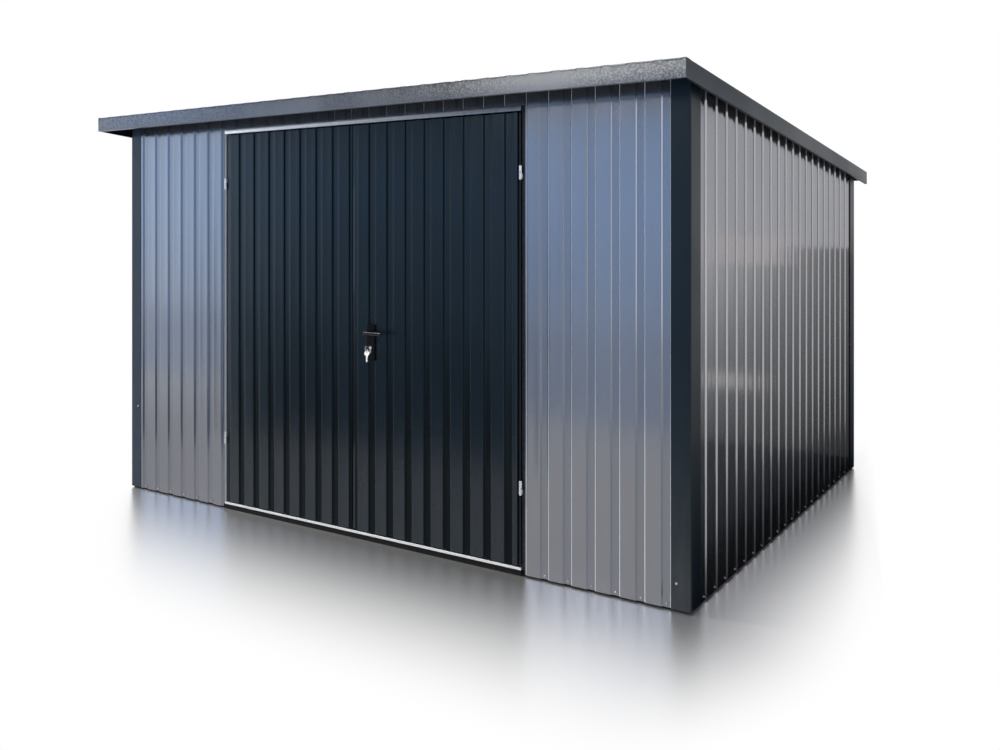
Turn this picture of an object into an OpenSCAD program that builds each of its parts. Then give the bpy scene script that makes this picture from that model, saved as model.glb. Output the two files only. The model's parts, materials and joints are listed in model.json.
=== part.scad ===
// Metal storage shed with a pent roof and a double-leaf door, clad in grooved sheet.
// Millimetres, +Z up, front towards -Y, origin on the ground under the middle of the roof.

/* [Overall] */
// Width of the walls over the corner trims
shed_w = 3500; // [3300:10:3800]
// Depth of the walls over the corner trims
shed_d = 2500; // [2300:10:2800]
// Height of the roof edge at the front
front_h = 2110; // [2100:1:2160]
// Height of the roof edge at the back
back_h = 1844; // [1800:1:1900]

/* [Roof] */
// Overhang of the roof at the front
front_overhang = 166; // [140:1:200]
// Overhang of the roof at the back
back_overhang = 100; // [80:1:140]
// Overhang of the roof at each side
side_overhang = 55; // [45:1:80]
// Height of the fascias
fascia_h = 76; // [65:1:80]
// Width of the fascia flange that lies on the roof
fascia_flange = 40; // [30:1:60]
// Height of the drip edge along the back
drip_h = 45; // [30:1:60]

/* [Sheet metal] */
// Thickness of the grooved sheet
sheet_t = 0.5; // [0.4:0.1:1]
// Thickness of the folded trims
trim_t = 0.6; // [0.5:0.1:1]
// Spacing of the grooves
groove_pitch = 112.8; // [106:0.2:120]
// Flat width at the bottom of a groove
groove_floor = 30; // [24:1:34]
// Width of a groove's sloping side
groove_side = 7; // [5:0.5:9]
// Depth of a groove
groove_depth = 8; // [6:0.5:10]
// First groove of the front and back walls, from the left corner
front_groove = 124; // [115:1:135]
// First groove of the side walls, from the front corner
side_groove = 138; // [125:1:150]
// First groove of a door leaf, from its left edge
leaf_groove = 125; // [120:1:135]
// Height of the bottom edge of the sheets
sheet_lift = 8; // [4:1:15]
// Width of a corner trim on the front and the back
trim_front = 84; // [70:1:100]
// Width of a corner trim on the sides
trim_side = 95; // [80:1:110]

/* [Frame] */
// Side of the square frame tube
tube = 30; // [25:1:35]
// Height of the base rails
base_h = 25; // [20:1:30]
// Height of the middle rails
mid_h = 1000; // [900:10:1100]
// Number of purlins under the roof
purlins = 2; // [1:1:3]

/* [Door opening] */
// Width between the door posts
opening_w = 1905; // [1800:5:2000]
// Middle of the opening, from the middle of the front
opening_x = 10; // [-30:1:30]
// Distance from the front roof edge down to the lintel's underside
lintel_drop = 122; // [118:1:150]
// Height of the lintel
lintel_h = 24; // [20:1:28]
// Distance the lintel stands proud of the wall
lintel_proud = 2; // [0:0.5:4]
// Width of the post's face that shows beside the wall sheet
jamb_face = 16; // [12:1:20]
// Thickness of the sill strip
sill_t = 3; // [2:0.5:4]

/* [Door leaves] */
// Meeting line of the leaves, from the middle of the front
meeting_x = -22; // [-40:1:40]
// Gap between the leaves, the posts and the lintel
leaf_gap = 7; // [6:0.5:9]
// Gap between the leaves and the sill
sill_gap = 14; // [8:1:18]
// Width of the stile's face that shows beside the leaf's sheet
stile_face = 11; // [10:0.5:14]

/* [Hinges] */
// Diameter of a hinge barrel
barrel_d = 14; // [12:0.5:14]
// Height of a hinge barrel
barrel_h = 62; // [50:1:80]
// Diameter of a hinge pin
pin_d = 8; // [6:0.5:9]
// Distance of the lower hinges from the bottom of a leaf
low_hinge_inset = 333; // [260:1:400]
// Distance of the upper hinges from the top of a leaf
high_hinge_inset = 257; // [200:1:330]

/* [Lock] */
// Height of the lever's axis
lever_z = 993; // [960:1:1030]
// Distance from the lever's axis down to the lock cylinder
cylinder_drop = 72; // [70:1:76]
// Length of the lever from its axis
lever_len = 105; // [90:1:120]
// Diameter of the lever's grip
lever_d = 16; // [14:1:18]
// Distance from the plate to the middle of the grip
lever_reach = 40; // [36:1:50]
// Width of the handle plates
plate_w = 48; // [46:1:54]
// Height of the handle plates
plate_h = 170; // [160:1:190]
// Thickness of the handle plates
plate_t = 8; // [6:0.5:10]
// Depth of the lock case
case_t = 24; // [20:1:26]
// Diameter of a key's bow
bow_d = 24; // [20:1:26]

/* [Hidden] */
$fn = 48;
// Clearance between parts that rest on each other
seat = 0.1;
// Running clearance of a pin or shaft on its radius
run_clear = 0.05;
// Clearance between a barrel and the tubes behind it
barrel_clear = 0.3;
// Clearance of the lever's neck in the handle plates
neck_clear = 0.5;
// Distance of a wall sheet's end from the corner of the shed
corner_inset = 12;
// Margin that a cut runs past a face
cut = 5;
// Space between the two knuckles of a hinge
knuckle_gap = 1;
// Width of a hinge tab
tab_w = 8;
// Diameter of the lever's neck
neck_d = 18;
// Diameter of the lever's spindle
spindle_d = 10;
// Diameter of the lock cylinder's round part
cylinder_d = 17;
// Width and whole height of the lock cylinder's lower part
lug_w = 10;
lug_h = 33;
// Distance the lock cylinder stands out of its plates
cylinder_out = 3;
// Room for the lock cylinder in the plates, the case and the sheet
cylinder_clear = 0.3;
// Height of the lock case and its share above the lever's axis
case_h = 165;
case_above = 45;
// Thickness of a key, width of its blade and length of its neck
key_t = 2.5;
blade_w = 8;
key_neck = 10;
// Length of the blade of the key that hangs on the ring
blade_l = 18;
// Outer diameter and wire of the key ring, and its play in the keys
ring_d = 18;
ring_wire = 1.6;
ring_play = 0.4;
// Rim of a bow beside its ring hole, and the hole's diameter
bow_rim = 2;
bow_hole_d = 7;
// Distance of a handle plate's middle below the middle of lever and lock
plate_shift = 12;

// Build-up of a wall from the trim's face to the frame
wall_t = trim_t + groove_depth + sheet_t;
// Faces of the walls and edges of the roof
y_eave = -(shed_d + front_overhang + back_overhang) / 2;
y_front = y_eave + front_overhang;
y_back = y_front + shed_d;
y_drip = y_back + back_overhang;
x_side = shed_w / 2;
x_roof = x_side + side_overhang;
// Fall of the roof from front to back
slope = (front_h - back_h) / (y_drip - y_eave);
roof_angle = atan(slope);
// Distance from the roof edge's line straight down to the frame under the sheet
rail_drop = wall_t / cos(roof_angle) + seat;
// Outer faces of the frame
f_front = y_front + wall_t;
f_back = y_back - wall_t;
f_side = x_side - wall_t;
// Door opening and leaves
opening_h = front_h - lintel_drop;
open_l = opening_x - opening_w / 2;
open_r = opening_x + opening_w / 2;
sill_top = base_h + sill_t;
leaf_bottom = sill_top + sill_gap;
leaf_top = opening_h - leaf_gap;
left_leaf = [open_l + leaf_gap, meeting_x - leaf_gap / 2];
right_leaf = [meeting_x + leaf_gap / 2, open_r - leaf_gap];
// Hinge axes, in the middle of the gaps beside the posts, and the hinges' heights
left_axis_x = open_l + leaf_gap / 2;
right_axis_x = open_r - leaf_gap / 2;
axis_y = f_front - barrel_clear - barrel_d / 2;
hinge_heights = [leaf_bottom + low_hinge_inset, leaf_top - high_hinge_inset];
// Lock and handle, centred on the first groove of the right leaf
lock_x = right_leaf[0] + leaf_groove;
cylinder_z = lever_z - cylinder_drop;
plate_z = lever_z - cylinder_drop / 2 - plate_shift;
plate_front = y_front + trim_t - plate_t;
case_back = f_front + case_t;
cylinder_front = plate_front - cylinder_out;
cylinder_back = case_back + plate_t + cylinder_out;
lever_front = plate_front - lever_reach;
lever_back = case_back + plate_t + lever_reach;
// Distance of the ring hole from the bow's middle
bow_hole_r = bow_d / 2 - bow_hole_d / 2 - bow_rim;

silver = [0.56, 0.6, 0.68];
anthracite = [0.13, 0.17, 0.21];
zinc = [0.75, 0.76, 0.77];
base_grey = [0.16, 0.17, 0.18];
black = [0.05, 0.05, 0.055];
steel = [0.8, 0.8, 0.78];

// Height of the roof edge's line at a place along the depth
function edge_z(y) = front_h - slope * (y - y_eave);

// Distance of x from the middle of the nearest groove, with one groove at c
function off_groove(x, c) = abs(x - c - round((x - c) / groove_pitch) * groove_pitch);

// Depth of the sheet's face at x
function groove_y(x, c) =
    let (edge = groove_floor / 2 + groove_side)
    groove_depth * min(1, max(0, (edge - off_groove(x, c)) / groove_side));

// Places between x0 and x1 where the sheet's face bends
function bends(x0, x1, c) =
    let (edge = groove_floor / 2 + groove_side)
    [for (k = [floor((x0 - c) / groove_pitch) : ceil((x1 - c) / groove_pitch)])
        for (s = [-edge, -groove_floor / 2, groove_floor / 2, edge])
            let (x = c + k * groove_pitch + s)
            if (x > x0 + sheet_t && x < x1 - sheet_t) x];

// Cross-section of a grooved sheet from x0 to x1, its crests at y = 0 facing -y
module sheet_section(x0, x1, c) {
    face = [for (x = concat([x0], bends(x0, x1, c), [x1])) [x, groove_y(x, c)]];
    rear = [for (i = [len(face) - 1 : -1 : 0]) face[i] + [0, sheet_t]];
    polygon(concat(face, rear));
}

// Standing sheet that faces the front
module front_sheet(x0, x1, c, z0, z1) {
    translate([0, y_front + trim_t, z0])
        linear_extrude(z1 - z0) sheet_section(x0, x1, c);
}

// Box between two corners
module block(a, b) {
    translate(a) cube(b - a);
}

// Prism along x over an outline in the y-z plane
module along_x(x0, x1, outline) {
    translate([x0, 0, 0]) rotate([90, 0, 90]) linear_extrude(x1 - x0) polygon(outline);
}

// Bar whose top and bottom follow the roof, at given drops below the roof edge's line
module sloped_bar(x0, x1, y0, y1, top, bottom) {
    along_x(x0, x1, [
        [y0, edge_z(y0) - bottom], [y1, edge_z(y1) - bottom],
        [y1, edge_z(y1) - top], [y0, edge_z(y0) - top]
    ]);
}

// Standing post whose top is cut to the roof's fall
module post(x0, x1, y0, y1, z0, top) {
    along_x(x0, x1, [[y0, z0], [y1, z0], [y1, edge_z(y1) - top], [y0, edge_z(y0) - top]]);
}

// Copies a part to both sides of the shed
module both_sides() {
    children();
    mirror([1, 0, 0]) children();
}

// Places a standing sheet so that it faces +x, its own x running along the depth
module facing_side() {
    translate([x_side - trim_t, 0, 0]) rotate([0, 0, 90]) children();
}

// Level height that stays under the frame's top line at y
function level_top(y) = edge_z(y) - rail_drop - seat;

module front_left_wall() {
    color(silver)
        front_sheet(-x_side + corner_inset, open_l - jamb_face, -x_side + front_groove,
            sheet_lift, level_top(f_front));
}

module front_right_wall() {
    color(silver)
        front_sheet(open_r + jamb_face, x_side - corner_inset, -x_side + front_groove,
            sheet_lift, level_top(f_front));
}

module front_header() {
    color(silver)
        front_sheet(open_l - jamb_face, open_r + jamb_face, -x_side + front_groove,
            opening_h + lintel_h, level_top(f_front));
}

module side_sheet() {
    difference() {
        facing_side() linear_extrude(front_h)
            sheet_section(y_front + corner_inset, y_back - corner_inset, y_front + side_groove);
        block([0, y_eave, -cut], [x_roof, y_drip, sheet_lift]);
        sloped_bar(0, x_roof, y_eave, y_drip, -front_h, rail_drop);
    }
}

module left_wall() {
    color(silver) mirror([1, 0, 0]) side_sheet();
}

module right_wall() {
    color(silver) side_sheet();
}

module back_wall() {
    color(silver)
        translate([0, y_back - trim_t, sheet_lift]) mirror([0, 1, 0])
            linear_extrude(level_top(y_back) - sheet_lift)
                sheet_section(-x_side + corner_inset, x_side - corner_inset,
                    -x_side + front_groove);
}

// The roof's sheet lies with its wide pans down and its narrow ribs up
module roof_sheet() {
    start = y_eave + trim_t + seat + wall_t * abs(sin(roof_angle));
    slant = (y_drip - start) / cos(roof_angle);
    color(anthracite)
        translate([0, start, edge_z(start)])
            rotate([90 - roof_angle, 0, 0])
                translate([0, -wall_t - seat / 2, -slant]) linear_extrude(slant)
                    sheet_section(-x_roof + trim_t + seat, x_roof - trim_t - seat, 0);
}

// Folded corner strip, its outer corner at the origin and its legs along +x and +y
module corner_angle(leg_x, leg_y, height) {
    linear_extrude(height)
        polygon([[0, 0], [leg_x, 0], [leg_x, trim_t], [trim_t, trim_t],
            [trim_t, leg_y], [0, leg_y]]);
}

module front_corner_trims() {
    height = level_top(y_front + trim_side) - sheet_lift;
    color(anthracite) both_sides()
        translate([-x_side, y_front, sheet_lift]) corner_angle(trim_front, trim_side, height);
}

module back_corner_trims() {
    height = level_top(y_back) - sheet_lift;
    color(anthracite) both_sides()
        translate([-x_side, y_back, sheet_lift])
            mirror([0, 1, 0]) corner_angle(trim_front, trim_side, height);
}

// Upright face of the front fascia, and its flange on the roof between the side fascias
module front_fascia() {
    inner = x_roof - trim_t - seat;
    color(anthracite) union() {
        sloped_bar(-x_roof, x_roof, y_eave, y_eave + trim_t, 0, fascia_h);
        sloped_bar(-inner, inner, y_eave, y_eave + fascia_flange, 0, trim_t);
    }
}

// Upright face of a side fascia behind the front one, and its flange on the roof
module side_fascia() {
    sloped_bar(x_roof - trim_t, x_roof, y_eave + trim_t + seat, y_drip, 0, fascia_h);
    sloped_bar(x_roof - fascia_flange, x_roof, y_eave + fascia_flange + seat, y_drip, 0, trim_t);
}

module left_fascia() {
    color(anthracite) mirror([1, 0, 0]) side_fascia();
}

module right_fascia() {
    color(anthracite) side_fascia();
}

// Flange under the roof's sheet and upright drip behind it
module back_drip_edge() {
    inner = x_roof - trim_t - seat;
    color(anthracite) union() {
        sloped_bar(-inner, inner, y_drip - fascia_flange, y_drip, rail_drop, rail_drop + trim_t);
        sloped_bar(-inner, inner, y_drip - trim_t, y_drip, rail_drop, rail_drop + drip_h);
    }
}

module side_base_rails() {
    color(base_grey) both_sides()
        block([f_side - tube, f_front, 0], [f_side, f_back, base_h]);
}

module back_base_rail() {
    color(base_grey)
        block([-f_side + tube, f_back - tube, 0], [f_side - tube, f_back, base_h]);
}

module front_base_rails() {
    color(base_grey) {
        block([-f_side + tube, f_front, 0], [open_l, f_front + tube, base_h]);
        block([open_r, f_front, 0], [f_side - tube, f_front + tube, base_h]);
    }
}

module door_base_rail() {
    color(base_grey)
        block([open_l, y_front, 0], [open_r, f_front + tube, base_h]);
}

module door_sill() {
    color(zinc)
        block([open_l, y_front - trim_t, base_h], [open_r, f_front + tube, sill_top]);
}

module front_corner_posts() {
    color(zinc) both_sides()
        post(f_side - tube, f_side, f_front, f_front + tube, base_h, rail_drop + tube);
}

module back_corner_posts() {
    color(zinc) both_sides()
        post(f_side - tube, f_side, f_back - tube, f_back, base_h, rail_drop + tube);
}

module door_posts() {
    color(zinc) {
        post(open_l - tube, open_l, f_front, f_front + tube, base_h, rail_drop + tube);
        post(open_r, open_r + tube, f_front, f_front + tube, base_h, rail_drop + tube);
    }
}

module door_lintel() {
    color(zinc)
        block([open_l, y_front - lintel_proud, opening_h],
            [open_r, f_front + tube, opening_h + lintel_h]);
}

module front_top_rail() {
    color(zinc)
        sloped_bar(-f_side, f_side, f_front, f_front + tube, rail_drop, rail_drop + tube);
}

module back_top_rail() {
    color(zinc)
        sloped_bar(-f_side, f_side, f_back - tube, f_back, rail_drop, rail_drop + tube);
}

module side_top_rails() {
    color(zinc) both_sides()
        sloped_bar(f_side - tube, f_side, f_front + tube, f_back - tube,
            rail_drop, rail_drop + tube);
}

module roof_purlins() {
    inner = f_side - tube;
    color(zinc)
        for (i = [1 : purlins]) {
            y = f_front + i * (f_back - f_front) / (purlins + 1);
            sloped_bar(-inner, inner, y - tube / 2, y + tube / 2, rail_drop, rail_drop + tube);
        }
}

module side_mid_rails() {
    color(zinc) both_sides()
        block([f_side - tube, f_front + tube, mid_h - tube / 2],
            [f_side, f_back - tube, mid_h + tube / 2]);
}

module back_mid_rail() {
    color(zinc)
        block([-f_side + tube, f_back - tube, mid_h - tube / 2],
            [f_side - tube, f_back, mid_h + tube / 2]);
}

module front_mid_rails() {
    color(zinc) {
        block([-f_side + tube, f_front, mid_h - tube / 2],
            [open_l - tube, f_front + tube, mid_h + tube / 2]);
        block([open_r + tube, f_front, mid_h - tube / 2],
            [f_side - tube, f_front + tube, mid_h + tube / 2]);
    }
}

// Lower knuckle with its pin, welded to the face of a post on the given side of the axis
module hinge_pin(side) {
    knuckle_h = (barrel_h - knuckle_gap) / 2;
    tab_end = side * (barrel_d / 2 + tab_w / 2);
    translate([0, 0, -barrel_h / 2]) {
        cylinder(d = barrel_d, h = knuckle_h);
        cylinder(d = pin_d, h = barrel_h - knuckle_gap);
        block([min(tab_end, side), 0, 0],
            [max(tab_end, side), f_front - axis_y, knuckle_h]);
    }
}

// Upper knuckle with its bore, welded to the face of a stile on the given side of the axis
module hinge_knuckle(side) {
    knuckle_h = (barrel_h - knuckle_gap) / 2;
    tab_end = side * (barrel_d / 2 + tab_w / 2);
    translate([0, 0, knuckle_gap / 2]) difference() {
        union() {
            cylinder(d = barrel_d, h = knuckle_h);
            block([min(tab_end, side), 0, 0],
                [max(tab_end, side), f_front - axis_y, knuckle_h]);
        }
        translate([0, 0, -cut])
            cylinder(r = pin_d / 2 + run_clear, h = barrel_h - knuckle_gap / 2);
    }
}

module at_hinges(x) {
    for (z = hinge_heights) translate([x, axis_y, z]) children();
}

module left_hinge_pins() {
    color(zinc) at_hinges(left_axis_x) hinge_pin(-1);
}

module right_hinge_pins() {
    color(zinc) at_hinges(right_axis_x) hinge_pin(1);
}

module left_hinge_knuckles() {
    color(zinc) at_hinges(left_axis_x) hinge_knuckle(1);
}

module right_hinge_knuckles() {
    color(zinc) at_hinges(right_axis_x) hinge_knuckle(-1);
}

module leaf_stiles(leaf) {
    color(anthracite)
        for (x = [leaf[0], leaf[1] - tube])
            block([x, f_front, leaf_bottom], [x + tube, f_front + tube, leaf_top]);
}

// Bottom rail, middle rail under the handle plates, and top rail
module leaf_rails(leaf) {
    middle = plate_z - plate_h / 2 - 2 * tube;
    color(anthracite)
        for (z = [leaf_bottom, middle, leaf_top - tube])
            block([leaf[0] + tube, f_front, z],
                [leaf[1] - tube, f_front + tube, z + tube]);
}

module left_door_sheet() {
    color(anthracite)
        front_sheet(left_leaf[0] + stile_face, left_leaf[1], left_leaf[0] + leaf_groove,
            leaf_bottom, leaf_top);
}

module left_door_stiles() {
    leaf_stiles(left_leaf);
}

module left_door_rails() {
    leaf_rails(left_leaf);
}

// Round bar along y between two places, on the axis of the lever or the lock
module bar_y(d, y0, y1, z) {
    translate([lock_x, y0, z]) rotate([-90, 0, 0]) cylinder(d = d, h = y1 - y0);
}

// Outline of the lock cylinder along y, with room all round it
module cylinder_body(y0, y1, room) {
    bar_y(cylinder_d + 2 * room, y0, y1, cylinder_z);
    block([lock_x - lug_w / 2 - room, y0, cylinder_z + cylinder_d / 2 - lug_h - room],
        [lock_x + lug_w / 2 + room, y1, cylinder_z]);
}

module right_door_sheet() {
    color(anthracite) difference() {
        front_sheet(right_leaf[0], right_leaf[1] - stile_face, lock_x, leaf_bottom, leaf_top);
        bar_y(neck_d + 2 * neck_clear, y_front, f_front + cut, lever_z);
        cylinder_body(y_front, f_front + cut, cylinder_clear);
    }
}

module right_door_stiles() {
    leaf_stiles(right_leaf);
}

module right_door_rails() {
    leaf_rails(right_leaf);
}

module lock_case() {
    color(zinc) difference() {
        block([right_leaf[0] + tube, f_front, lever_z + case_above - case_h],
            [lock_x + plate_w / 2, case_back, lever_z + case_above]);
        bar_y(spindle_d + 2 * run_clear, f_front - cut, case_back + cut, lever_z);
        cylinder_body(f_front - cut, case_back + cut, cylinder_clear);
    }
}

// Long plate bored for the lever's neck and the lock cylinder
module handle_plate(y0) {
    difference() {
        block([lock_x - plate_w / 2, y0, plate_z - plate_h / 2],
            [lock_x + plate_w / 2, y0 + plate_t, plate_z + plate_h / 2]);
        bar_y(neck_d + 2 * neck_clear, y0 - cut, y0 + plate_t + cut, lever_z);
        cylinder_body(y0 - cut, y0 + plate_t + cut, cylinder_clear);
    }
}

module handle_plates() {
    color(black) {
        handle_plate(plate_front);
        handle_plate(case_back);
    }
}

module lock_cylinder() {
    color(steel) cylinder_body(cylinder_front, cylinder_back, 0);
}

// Round bow of a key in the y-z plane, with its ring hole straight below its middle
module key_bow() {
    rotate([0, 90, 0]) difference() {
        cylinder(d = bow_d, h = key_t, center = true);
        translate([bow_hole_r, 0, 0])
            cylinder(d = bow_hole_d, h = key_t + cut, center = true);
    }
}

// The key in the lock, the ring through its bow, and the second key on the ring
module keys() {
    bow_y = cylinder_front - key_neck - bow_d / 2;
    ring_z = cylinder_z - bow_hole_r - bow_hole_d / 2 + ring_wire + ring_play - ring_d / 2;
    low_z = ring_z - ring_d / 2 + ring_wire + ring_play - bow_hole_d / 2 - bow_hole_r;
    color(steel) {
        translate([lock_x, bow_y, cylinder_z]) {
            key_bow();
            block([-key_t / 2, bow_d / 2 - key_t, -blade_w / 2],
                [key_t / 2, bow_d / 2 + key_neck, blade_w / 2]);
        }
        translate([lock_x, bow_y, ring_z]) rotate([90, 0, 0])
            rotate_extrude() translate([ring_d / 2 - ring_wire / 2, 0]) circle(d = ring_wire);
        translate([lock_x, bow_y, low_z]) {
            mirror([0, 0, 1]) key_bow();
            block([-key_t / 2, -blade_w / 2, -bow_d / 2 - blade_l],
                [key_t / 2, blade_w / 2, -bow_d / 2 + key_t]);
        }
    }
}

// Grip that points to the hinge side, with a round end and a round elbow
module lever_grip(y) {
    translate([lock_x, y, lever_z]) {
        sphere(d = neck_d);
        rotate([0, 90, 0]) cylinder(d = lever_d, h = lever_len - lever_d / 2);
        translate([lever_len - lever_d / 2, 0, 0]) sphere(d = lever_d);
    }
}

module lever_handle() {
    color(black) {
        lever_grip(lever_front);
        lever_grip(lever_back);
        bar_y(neck_d, lever_front, y_front + trim_t, lever_z);
        bar_y(neck_d, case_back + seat, lever_back, lever_z);
        bar_y(spindle_d, y_front, lever_back, lever_z);
    }
}

front_left_wall();
front_right_wall();
front_header();
left_wall();
right_wall();
back_wall();
roof_sheet();
front_corner_trims();
back_corner_trims();
front_fascia();
left_fascia();
right_fascia();
back_drip_edge();
side_base_rails();
back_base_rail();
front_base_rails();
door_base_rail();
door_sill();
front_corner_posts();
back_corner_posts();
door_posts();
door_lintel();
front_top_rail();
back_top_rail();
side_top_rails();
roof_purlins();
side_mid_rails();
back_mid_rail();
front_mid_rails();
left_hinge_pins();
right_hinge_pins();
left_door_sheet();
left_door_stiles();
left_door_rails();
left_hinge_knuckles();
right_door_sheet();
right_door_stiles();
right_door_rails();
right_hinge_knuckles();
lock_case();
handle_plates();
lock_cylinder();
keys();
lever_handle();
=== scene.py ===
import json
import math

import bmesh
import bpy
from mathutils import Matrix, Vector, noise

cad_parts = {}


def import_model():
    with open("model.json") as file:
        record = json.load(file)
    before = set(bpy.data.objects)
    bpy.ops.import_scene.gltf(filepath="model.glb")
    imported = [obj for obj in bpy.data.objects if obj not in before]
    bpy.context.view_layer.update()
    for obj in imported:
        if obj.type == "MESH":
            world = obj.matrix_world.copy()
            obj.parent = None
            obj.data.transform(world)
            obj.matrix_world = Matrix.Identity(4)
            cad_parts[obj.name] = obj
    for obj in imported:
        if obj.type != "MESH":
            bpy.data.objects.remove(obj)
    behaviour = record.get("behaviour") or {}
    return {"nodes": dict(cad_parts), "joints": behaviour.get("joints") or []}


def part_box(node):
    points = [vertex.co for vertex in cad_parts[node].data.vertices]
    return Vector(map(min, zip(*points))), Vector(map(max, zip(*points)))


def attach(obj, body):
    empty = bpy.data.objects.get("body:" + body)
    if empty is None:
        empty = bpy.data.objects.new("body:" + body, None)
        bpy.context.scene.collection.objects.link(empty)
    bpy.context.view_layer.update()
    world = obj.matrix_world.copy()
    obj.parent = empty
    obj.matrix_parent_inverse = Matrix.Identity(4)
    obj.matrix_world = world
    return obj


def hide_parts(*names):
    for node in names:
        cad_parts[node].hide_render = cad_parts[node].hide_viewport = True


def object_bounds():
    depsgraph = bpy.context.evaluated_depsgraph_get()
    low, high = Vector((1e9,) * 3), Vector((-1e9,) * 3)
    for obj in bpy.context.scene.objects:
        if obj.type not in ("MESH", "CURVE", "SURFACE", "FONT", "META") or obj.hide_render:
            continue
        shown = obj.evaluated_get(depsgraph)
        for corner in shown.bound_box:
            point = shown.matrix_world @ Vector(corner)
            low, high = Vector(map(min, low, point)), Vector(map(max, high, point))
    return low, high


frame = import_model()
cad_low, cad_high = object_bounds()
NODES = frame["nodes"]
JOINTS = {joint["name"]: Vector(joint["pos_m"]) for joint in frame["joints"]}

# Grooved sheet, in metres: spacing, floor, sloping side and depth of the grooves
PITCH, FLOOR, SIDE, DEPTH = 0.1128, 0.032, 0.006, 0.006
# Thickness of sheets and trims, radius of a sheet's bends, and hollow of its crests
SHEET, TRIM, BEND, WAVE = 0.0005, 0.0006, 0.0034, 0.0009
# A point this near to a crest or a groove's floor lies on it
NEAR = 0.0003
# Fascias: height, flange on the roof, hem at the foot, and lean of the front one
FASCIA, FLANGE, HEM, LEAN = 0.076, 0.040, 0.012, 0.0035

# Outer faces of the walls, and the frame's face behind the front
FRONT_FACE, FRAME_FACE = (corner.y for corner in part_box("front_left_wall"))
SIDE_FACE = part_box("right_wall")[1].x
BACK_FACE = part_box("back_wall")[1].y
# Corners of the shed's outline on the floor
FRONT_CORNER, BACK_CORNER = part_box("front_corner_trims")[0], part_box("back_corner_trims")[1]

# First groove of the front, the sides and the leaves, from the corner or the leaf's edge
FRONT_FIRST, SIDE_FIRST, LEAF_FIRST = 0.124, 0.138, 0.125
# Middle of a groove of each wall, of each leaf and of the roof
FRONT_GROOVE, SIDE_GROOVE = FRONT_CORNER.x + FRONT_FIRST, FRONT_CORNER.y + SIDE_FIRST
LEFT_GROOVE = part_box("left_door_stiles")[0].x + LEAF_FIRST
RIGHT_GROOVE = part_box("right_door_stiles")[0].x + LEAF_FIRST
ROOF_GROOVE = 0.0

# Lock: the lever's axis, and the cylinder below it
LOCK_X, LEVER_Z = JOINTS["lever_turn"].x, JOINTS["lever_turn"].z
CYLINDER_DROP = 0.072
CYLINDER_Z = LEVER_Z - CYLINDER_DROP


# Node trees

def node(tree, kind, inputs=None, **settings):
    """New node with its inputs set to values, or linked where a socket is given."""
    made = tree.nodes.new("ShaderNode" + kind)
    for key, value in settings.items():
        setattr(made, key, value)
    for key, value in (inputs or {}).items():
        if isinstance(value, bpy.types.NodeSocket):
            tree.links.new(value, made.inputs[key])
        else:
            made.inputs[key].default_value = value
    return made


def mixed(tree, factor, a, b):
    """Colour between a and b."""
    return node(tree, "Mix", {0: factor, 6: a, 7: b}, data_type="RGBA").outputs[2]


def spread(tree, value, low, high, start=0.0, end=1.0, kind="LINEAR"):
    """Value mapped from start..end to low..high, held at the ends."""
    made = node(tree, "MapRange", {"Value": value, "From Min": start, "From Max": end,
                                   "To Min": low, "To Max": high}, interpolation_type=kind)
    return made.outputs["Result"]


def maths(tree, operation, *values):
    return node(tree, "Math", dict(enumerate(values)), operation=operation).outputs[0]


def times(tree, a, b):
    return maths(tree, "MULTIPLY", a, b)


def attribute(tree, name):
    """Value that a mesh carries at its points."""
    return node(tree, "Attribute", attribute_name=name).outputs["Fac"]


def cloud(tree, place, scale, detail=2.0, rough=0.5, stretch=None):
    """Noise between 0 and 1."""
    if stretch:
        place = node(tree, "Mapping", {"Vector": place, "Scale": stretch}).outputs[0]
    made = node(tree, "TexNoise", {"Vector": place, "Scale": scale, "Detail": detail,
                                   "Roughness": rough})
    return made.outputs["Fac"]


def new_material(name, **sockets):
    """Material with a Principled shader, and its tree, shader and object coordinates."""
    made = bpy.data.materials.new(name)
    made.use_nodes = True
    tree = made.node_tree
    shader = tree.nodes["Principled BSDF"]
    for key, value in sockets.items():
        shader.inputs[key.replace("_", " ")].default_value = value
    place = node(tree, "TexCoord").outputs["Object"]
    return made, tree, shader, place


def rgb(r, g, b):
    return (r, g, b, 1.0)


def coat(tree, shader, colour, roughness, height, strength, distance):
    """Colour, roughness and relief linked to the shader."""
    tree.links.new(colour, shader.inputs["Base Color"])
    tree.links.new(roughness, shader.inputs["Roughness"])
    relief = node(tree, "Bump", {"Strength": strength, "Distance": distance, "Height": height})
    tree.links.new(relief.outputs[0], shader.inputs["Normal"])


def dust_and_light_film(tree, place, low, top, most):
    """Share of dust and painted light: it thickens towards the ground, in runs, and leaves marked parts
    out. On the base rails it is dust; on the wall sheets, the lower door leaves and the trims' front
    legs it is dust and painted light, a lighter, more neutral tone that stands in for sunlight and the
    reflection of the lit ground.
    """
    height = node(tree, "SeparateXYZ", {0: place}).outputs["Z"]
    film = spread(tree, height, 1.0, 0.0, low, top)
    film = times(tree, film, film)
    runs = cloud(tree, place, 9.0, 4.0, 0.6, (1.0, 1.0, 0.25))
    share = times(tree, film, spread(tree, runs, 0.35 * most, most, 0.3, 0.7))
    return times(tree, share, spread(tree, attribute(tree, "film_free"), 1.0, 0.0))


def painted_groove_shade(tree, place, most):
    """Share of painted shade in the grooves: deeper parts darker, in noisy patches."""
    shade_patches = spread(tree, cloud(tree, place, 6.0, 3.0, 0.6, (1.0, 1.0, 0.2)),
                   0.85 * most, most, 0.35, 0.65)
    return times(tree, attribute(tree, "hollow"), shade_patches)


# Roughness that the dust film adds, and the metallic level under the painted shade and the painted
# highlight on groove sides
FILM_ROUGHNESS, PAINTED_SHADE_METAL, HIGHLIGHT_METAL = 0.07, 0.65, 0.25


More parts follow.
